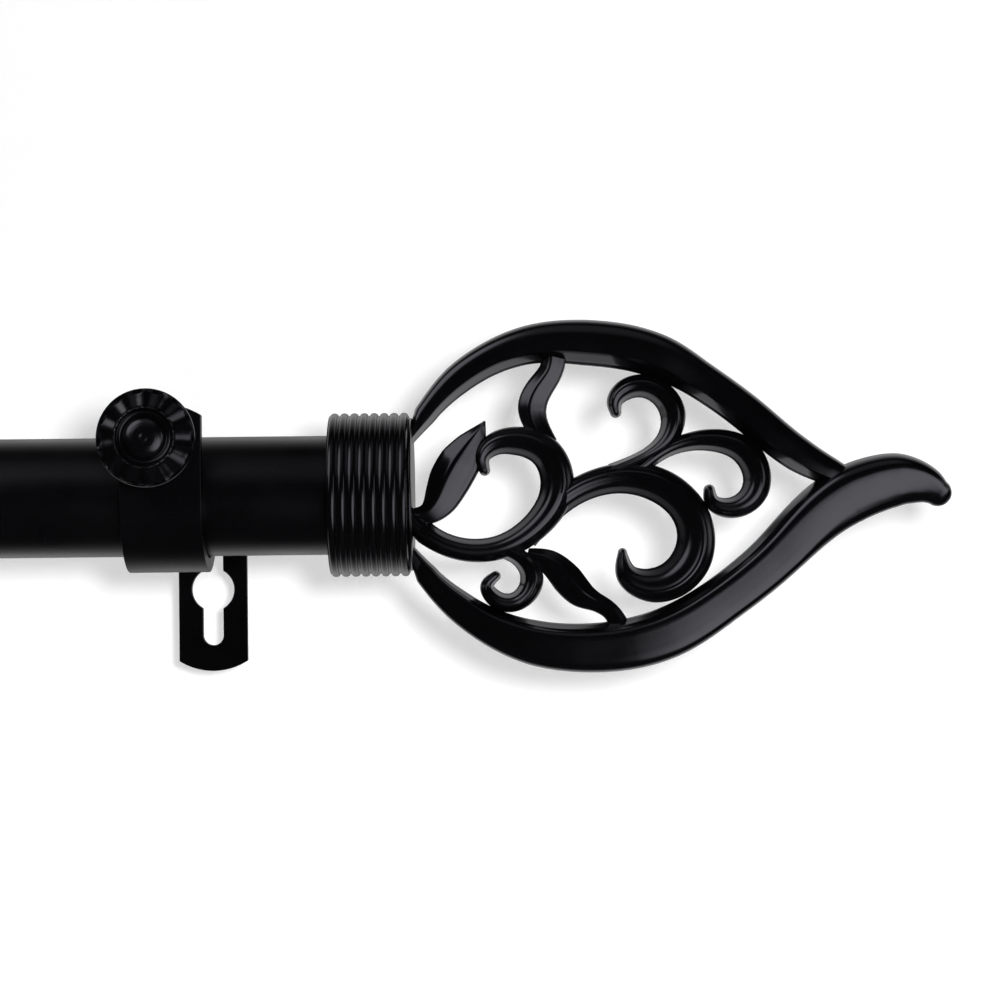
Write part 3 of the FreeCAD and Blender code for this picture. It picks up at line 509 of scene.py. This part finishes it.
def makeKnob(side):
    # a lathe form whose flange is scooped: each flute sinks by depth times 1 - (2f - 1)^2, f the share of the
    # way across it, and deeper at the rim than near the dome
    look = knobShape
    profile = softCorners(knobProfile, look["soft"], steps=2)
    columns = look["flutes"] * look["perFlute"]
    share = (np.arange(columns) % look["perFlute"]) / look["perFlute"]
    scoop = 1 - (2 * share - 1) ** 2
    along = np.repeat(profile[:, :1], columns, axis=1)
    radius = np.repeat(profile[:, 1:], columns, axis=1)
    inner, outer = look["fluteInner"], look["fluteOuter"]
    front = along > look["faceStart"]
    ramp = np.clip((radius - inner + look["innerLead"]) / look["innerRun"], 0, 1)
    ramp = ramp * np.clip((outer - radius) / look["outerRun"], 0, 1)
    nearDome = look["domeShare"]
    deepening = nearDome + (1 - nearDome) * (radius - look["domeRadius"]) / look["rimRise"]
    along = along - look["fluteDepth"] * scoop[None, :] * ramp * front * deepening
    low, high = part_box(side + "_thumb_knob")
    centre = ((low.x + high.x) / 2, strapFront[side], (low.z + high.z) / 2)
    patch = solidPatch(lathe(along, radius, centre, (0, -1, 0), (0, 0, 1)))
    knob = makePiece(side + "FlutedThumbKnob", [patch], knobPaint, side + "_knob", look["sharp"])
    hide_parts(side + "_thumb_knob")


for side in outward:
    makeCollar(side)
    makeKnob(side)
print("collars and knobs made")

# ---- screws, washers and nuts ----
threadShape = {"stemPitch": 0.8, "stemDepth": 0.46, "studPitch": 1.0, "studDepth": 0.58, "rowsPerTurn": 8,
               "columns": 36, "chamfer": 0.5, "sharp": 60.0}
# profiles of the screw's head are (height, radius) in mm: up the socket's hexagon, then out over the button
screwShape = {
    "headRadius": 4.75, "headHeight": 2.75, "shank": 2.5, "columns": 48, "sharp": 32.0,
    "socket": ((1.15, 0.02), (1.15, 1.6781), (1.25, 1.73), (2.63, 1.73)),
    "button": ((2.73, 1.9), (2.75, 2.1), (2.75, 2.55), (2.61, 2.95), (1.75, 3.95), (1.02, 4.66), (0.85, 4.75),
               (0.12, 4.75), (0.0, 4.61), (0.0, 2.55)),
}
washerShape = {"bore": 2.6, "soft": 0.25, "columns": 56}
nutShape = {"corner": 4.62, "coneRadius": 3.85, "bore": 2.52, "chamferRows": (0.0, 0.13, 0.26, 0.4),
            "boreChamfer": 0.3}


def threadGrid(start, end, crest, pitch, depth, columns):
    # radius is the crest less the depth times a triangle wave of (along / pitch - share of the turn),
    # and no more than a 45 degree cone lets it be at each end
    rows = int((end - start) / pitch * threadShape["rowsPerTurn"]) + 1
    along = np.linspace(start, end, rows)[:, None] * np.ones((1, columns))
    turn = np.arange(columns)[None, :] / columns
    wave = np.abs(2 * ((along / pitch - turn) % 1.0) - 1)
    room = np.minimum(along - start, end - along)
    return along, np.minimum(crest - depth * wave, crest - threadShape["chamfer"] + room)


def hexShare(columns):
    # a hexagon's radius at each angle as a share of its corner radius: cos 30 over the cosine of the angle
    # from the flat's middle
    angle = np.linspace(0, math.tau, columns, endpoint=False)
    return math.cos(math.radians(30)) / np.cos(angle % math.radians(60) - math.radians(30))


def spans(node):
    # the node's box in millimetres
    low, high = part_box(node)
    return np.array(low) / millimetre, np.array(high) / millimetre


def makeThreads(side):
    look = threadShape
    low, high = spans(side + "_thumb_screw_stem")
    middle = (low + high) / 2
    grid = threadGrid(0, high[1] - low[1], (high[0] - low[0]) / 2, look["stemPitch"], look["stemDepth"],
                      look["columns"])
    start = np.array((middle[0], high[1], middle[2])) * millimetre
    stem = makePiece(side + "ThreadedStem", [solidPatch(lathe(*grid, start, (0, -1, 0), (0, 0, 1)))],
                     fastenerPaint, side + "_stem", look["sharp"])
    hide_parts(side + "_thumb_screw_stem")
    low, high = spans(side + "_finial_stud")
    middle = (low + high) / 2
    grid = threadGrid(0, high[0] - low[0], (high[1] - low[1]) / 2, look["studPitch"], look["studDepth"],
                      look["columns"])
    start = np.array((low[0], middle[1], middle[2])) * millimetre
    stud = makePiece(side + "ThreadedStud", [solidPatch(lathe(*grid, start, (1, 0, 0), (0, 0, 1)))],
                     zincPlate, side + "_stud", look["sharp"])
    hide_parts(side + "_finial_stud")


def evenRows(values, columns):
    # one value per row, the same at every angle
    return np.array(values, float)[:, None] * np.ones((1, columns))


def socketScrew(base, end):
    # button head with a hexagon socket: rows from the socket's floor out over the head, then down the thread
    look = screwShape
    socket, button = np.array(look["socket"]), np.array(look["button"])
    thread = threadGrid(end, 0, look["shank"], threadShape["stemPitch"], threadShape["stemDepth"],
                        look["columns"])
    along = np.vstack([evenRows(socket[:, 0], look["columns"]), evenRows(button[:, 0], look["columns"]),
                       thread[0][::-1]])
    across = np.vstack([socket[:, 1:] * hexShare(look["columns"]), evenRows(button[:, 1], look["columns"]),
                        thread[1][::-1]])
    return solidPatch(lathe(along, across, base * millimetre, (0, 0, 1), (0, 1, 0)))


def hexNut(base, height):
    # the hexagon cut by a 30 degree cone at each face, round a plain bore, as one closed ring of rows
    look = nutShape
    columns = screwShape["columns"]
    run, cut = np.array(look["chamferRows"]), look["boreChamfer"]
    along = evenRows(np.concatenate([run, height - run[::-1]]), columns)
    cone = look["coneRadius"] + np.minimum(along, height - along) / math.tan(math.radians(30))
    outside = np.minimum(look["corner"] * hexShare(columns)[None, :], cone)
    boreAlong = evenRows((height, height - cut, cut, 0.0), columns)
    bore = evenRows((cut, 0.0, 0.0, cut), columns) + look["bore"]
    grid = lathe(np.vstack([along, boreAlong]), np.vstack([outside, bore]), base * millimetre, (0, 0, 1),
                 (0, 1, 0))
    return solidPatch(grid, wrapRows=True)


def makeProjectionFasteners(side):
    # two of each along the arm, seated as their solids are
    body = side + "_holder"
    low, high = spans(side + "_projection_screws")
    reach = (low[1] + screwShape["headRadius"], high[1] - screwShape["headRadius"])
    x, seat = (low[0] + high[0]) / 2, high[2] - screwShape["headHeight"]
    screws = [socketScrew(np.array((x, y, seat)), low[2] - seat) for y in reach]
    low, high = spans(side + "_projection_washers")
    height, outer = high[2] - low[2], (high[0] - low[0]) / 2
    ring = softCorners(((0, washerShape["bore"]), (0, outer), (height, outer), (height, washerShape["bore"])),
                       washerShape["soft"], closed=True)
    washers = [plainLathe(ring, washerShape["columns"], np.array((x, y, low[2])) * millimetre, (0, 0, 1),
                          (0, 1, 0), closed=True) for y in reach]
    low, high = spans(side + "_projection_nuts")
    nuts = [hexNut(np.array((x, y, low[2])), high[2] - low[2]) for y in reach]
    for name, node, patches in (("ProjectionScrews", "_projection_screws", screws),
                                ("ProjectionWashers", "_projection_washers", washers),
                                ("ProjectionNuts", "_projection_nuts", nuts)):
        piece = makePiece(side + name, patches, fastenerPaint, body, screwShape["sharp"])
        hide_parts(side + node)


# ---- straps ----
strapShape = {"merge": 0.001, "flatWithin": 1.0, "edge": 0.32, "segments": 2, "sharp": 35.0}


def softenStrap(node, name, body):
    # a copy of the pressed strip with its facets merged, every sharp edge rounded over by a narrow bevel
    shell = bmesh.new()
    shell.from_mesh(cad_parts[node].data)
    bmesh.ops.remove_doubles(shell, verts=shell.verts, dist=strapShape["merge"] * millimetre)
    bmesh.ops.dissolve_limit(shell, angle_limit=math.radians(strapShape["flatWithin"]), verts=shell.verts,
                             edges=shell.edges)
    mesh = bpy.data.meshes.new(name)
    shell.to_mesh(mesh)
    shell.free()
    mesh.polygons.foreach_set("use_smooth", np.ones(len(mesh.polygons), bool))
    mesh.set_sharp_from_angle(angle=math.radians(strapShape["sharp"]))
    mesh.materials.clear()
    mesh.materials.append(strapPaint)
    strap = bpy.data.objects.new(name, mesh)
    bpy.context.scene.collection.objects.link(strap)
    bevel = strap.modifiers.new("softEdges", "BEVEL")
    bevel.width = strapShape["edge"] * millimetre
    bevel.segments = strapShape["segments"]
    bevel.limit_method = "ANGLE"
    bevel.angle_limit = math.radians(strapShape["sharp"])
    bevel.harden_normals = True
    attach(strap, body)
    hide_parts(node)


for side in outward:
    makeThreads(side)
    makeProjectionFasteners(side)
    softenStrap(side + "_cradle", side + "CradleStrap", side + "_holder")
    softenStrap(side + "_bracket_arm", side + "WallArmStrap", side + "_wall_arm")
print("fasteners and straps made")

# ---- materials of the carried-over pieces ----
carriedFinish = {
    rodPaint: ("outer_tube", "inner_tube"),
    turnedBrass: ("right_insert_nut", "left_insert_nut"),
    blackNylon: ("right_end_plug", "left_end_plug", "outer_mouth_bush", "inner_guide_bush",
                 "left_step_sleeve"),
}
for finish, names in carriedFinish.items():
    for name in names:
        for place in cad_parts[name].material_slots:
            place.material = finish

# ---- stage, light and camera ----
stageLook = {"wallGlow": 0.22, "floorGlow": 0.40, "wallSize": 6.0, "floorDrop": 0.32, "wallGap": 0.032}


def stagePlane(name, corners, material):
    mesh = bpy.data.meshes.new(name)
    mesh.from_pydata(corners, [], [(0, 1, 2, 3)])
    mesh.materials.append(material)
    plane = bpy.data.objects.new(name, mesh)
    bpy.context.scene.collection.objects.link(plane)
    plane.visible_glossy = False


def paleSurface(name, glow, oneSided):
    # matt white card that also glows a little, so that it stays pale under soft light; a one-sided card is
    # clear from behind
    material = bpy.data.materials.new(name)
    material.use_nodes = True
    tree = material.node_tree
    shader = tree.nodes["Principled BSDF"]
    shader.inputs["Base Color"].default_value = linearColour("#f0f0f0")
    shader.inputs["Roughness"].default_value = 1.0
    shader.inputs["Specular IOR Level"].default_value = 0.0
    shader.inputs["Emission Color"].default_value = (1, 1, 1, 1)
    shader.inputs["Emission Strength"].default_value = glow
    if oneSided:
        back = addNode(tree, "ShaderNodeNewGeometry").outputs["Backfacing"]
        clear = addNode(tree, "ShaderNodeBsdfTransparent")
        mix = addNode(tree, "ShaderNodeMixShader", None,
                      {"Fac": back, 1: shader.outputs["BSDF"], 2: clear.outputs["BSDF"]})
        tree.links.new(mix.outputs["Shader"], tree.nodes["Material Output"].inputs["Surface"])
    return material


half = stageLook["wallSize"] / 2
drop = -stageLook["floorDrop"]
wallY = stageLook["wallGap"]
top = drop + 2 * half
stagePlane("wall", ((-half, wallY, drop), (half, wallY, drop), (half, wallY, top), (-half, wallY, top)),
           paleSurface("matWhiteWall", stageLook["wallGlow"], True))
front = -2 * half
stagePlane("floor", ((-half, front, drop), (half, front, drop), (half, half, drop), (-half, half, drop)),
           paleSurface("matWhiteFloor", stageLook["floorGlow"], False))


def hiddenLight(name, place, target, size, power):
    # a soft lamp that shades and casts shadows but shows in no reflection
    data = bpy.data.lights.new(name, "AREA")
    data.shape = "DISK"
    data.size = size
    data.energy = power
    light = bpy.data.objects.new(name, data)
    light.location = place
    light.rotation_euler = (Vector(target) - Vector(place)).to_track_quat("-Z", "Y").to_euler()
    light.visible_glossy = False
    light.visible_camera = False
    bpy.context.scene.collection.objects.link(light)


keyLook = {"place": (0.103, rodY - 0.560, 0.010), "target": (0.0705, rodY, -0.0099), "size": 0.036,
           "power": 2.45}
hiddenLight("keyLight", **keyLook)

# soft boxes of the reflected surround: direction, inner and outer half angle in degrees, brightness;
# the one behind is a ring, dim in its core, so that the tube's rims stay dark
softBoxes = {
    "upperLeft": ((-0.66, -0.50, 0.56), 14, 32, 2.1),
    "lowerRight": ((0.52, -0.80, -0.34), 13, 28, 2.5),
    "right": ((0.93, -0.36, 0.05), 6, 20, 1.3),
    "overhead": ((0.0, -0.56, 0.83), 8, 34, 0.24),
    "behind": ((0.0, 1.0, 0.0), 40, 82, 0.95),
    "behindCore": ((0.0, 1.0, 0.0), 8, 36, -0.6),
    "below": ((0.0, -0.2, -1.0), 10, 50, 0.03),
}
surround = {"dim": 0.002, "diffuse": 0.10}


def studioWorld():
    # white to the camera, even for soft shading, and a dim room with soft boxes in reflections
    world = bpy.data.worlds.new("studioWorld")
    world.use_nodes = True
    bpy.context.scene.world = world
    tree = world.node_tree
    background = tree.nodes["Background"]
    background.inputs["Color"].default_value = (1, 1, 1, 1)
    direction = addNode(tree, "ShaderNodeTexCoord").outputs["Generated"]
    total = None
    for centre, inner, outer, bright in softBoxes.values():
        dot = addNode(tree, "ShaderNodeVectorMath",
                      {"operation": "DOT_PRODUCT", 1: Vector(centre).normalized()}, {0: direction})
        edge, core = math.cos(math.radians(outer)), math.cos(math.radians(inner))
        box = addNode(tree, "ShaderNodeMapRange",
                      {"interpolation_type": "SMOOTHSTEP", "From Min": edge, "From Max": core,
                       "To Max": bright},
                      {"Value": dot.outputs["Value"]}).outputs["Result"]
        if total is not None:
            box = addNode(tree, "ShaderNodeMath", {"operation": "ADD"}, {0: total, 1: box}).outputs[0]
        total = box
    strength = addNode(tree, "ShaderNodeMath", {"operation": "ADD", 1: surround["dim"]},
                       {0: total}).outputs[0]
    ray = addNode(tree, "ShaderNodeLightPath")
    for seen, value in (("Is Diffuse Ray", surround["diffuse"]), ("Is Camera Ray", 1.0)):
        strength = addNode(tree, "ShaderNodeMix", {"data_type": "FLOAT", 3: value},
                           {0: ray.outputs[seen], 2: strength}).outputs[0]
    tree.links.new(strength, background.inputs["Strength"])


studioWorld()

cameraSet = {"place": (0.0705, rodY - 0.560, -0.0099), "pitch": 0.87, "roll": -0.63, "lens": 94.5}
cameraData = bpy.data.cameras.new("camera")
cameraData.lens = cameraSet["lens"]
cameraData.sensor_width = 36.0
camera = bpy.data.objects.new("camera", cameraData)
turn = Matrix.Rotation(math.radians(90 + cameraSet["pitch"]), 4, "X") @ Matrix.Rotation(
    math.radians(cameraSet["roll"]), 4, "Z")
camera.matrix_world = Matrix.Translation(cameraSet["place"]) @ turn
bpy.context.scene.collection.objects.link(camera)
bpy.context.scene.camera = camera
bpy.context.scene.view_settings.view_transform = "Standard"
print("stage, light and camera made")
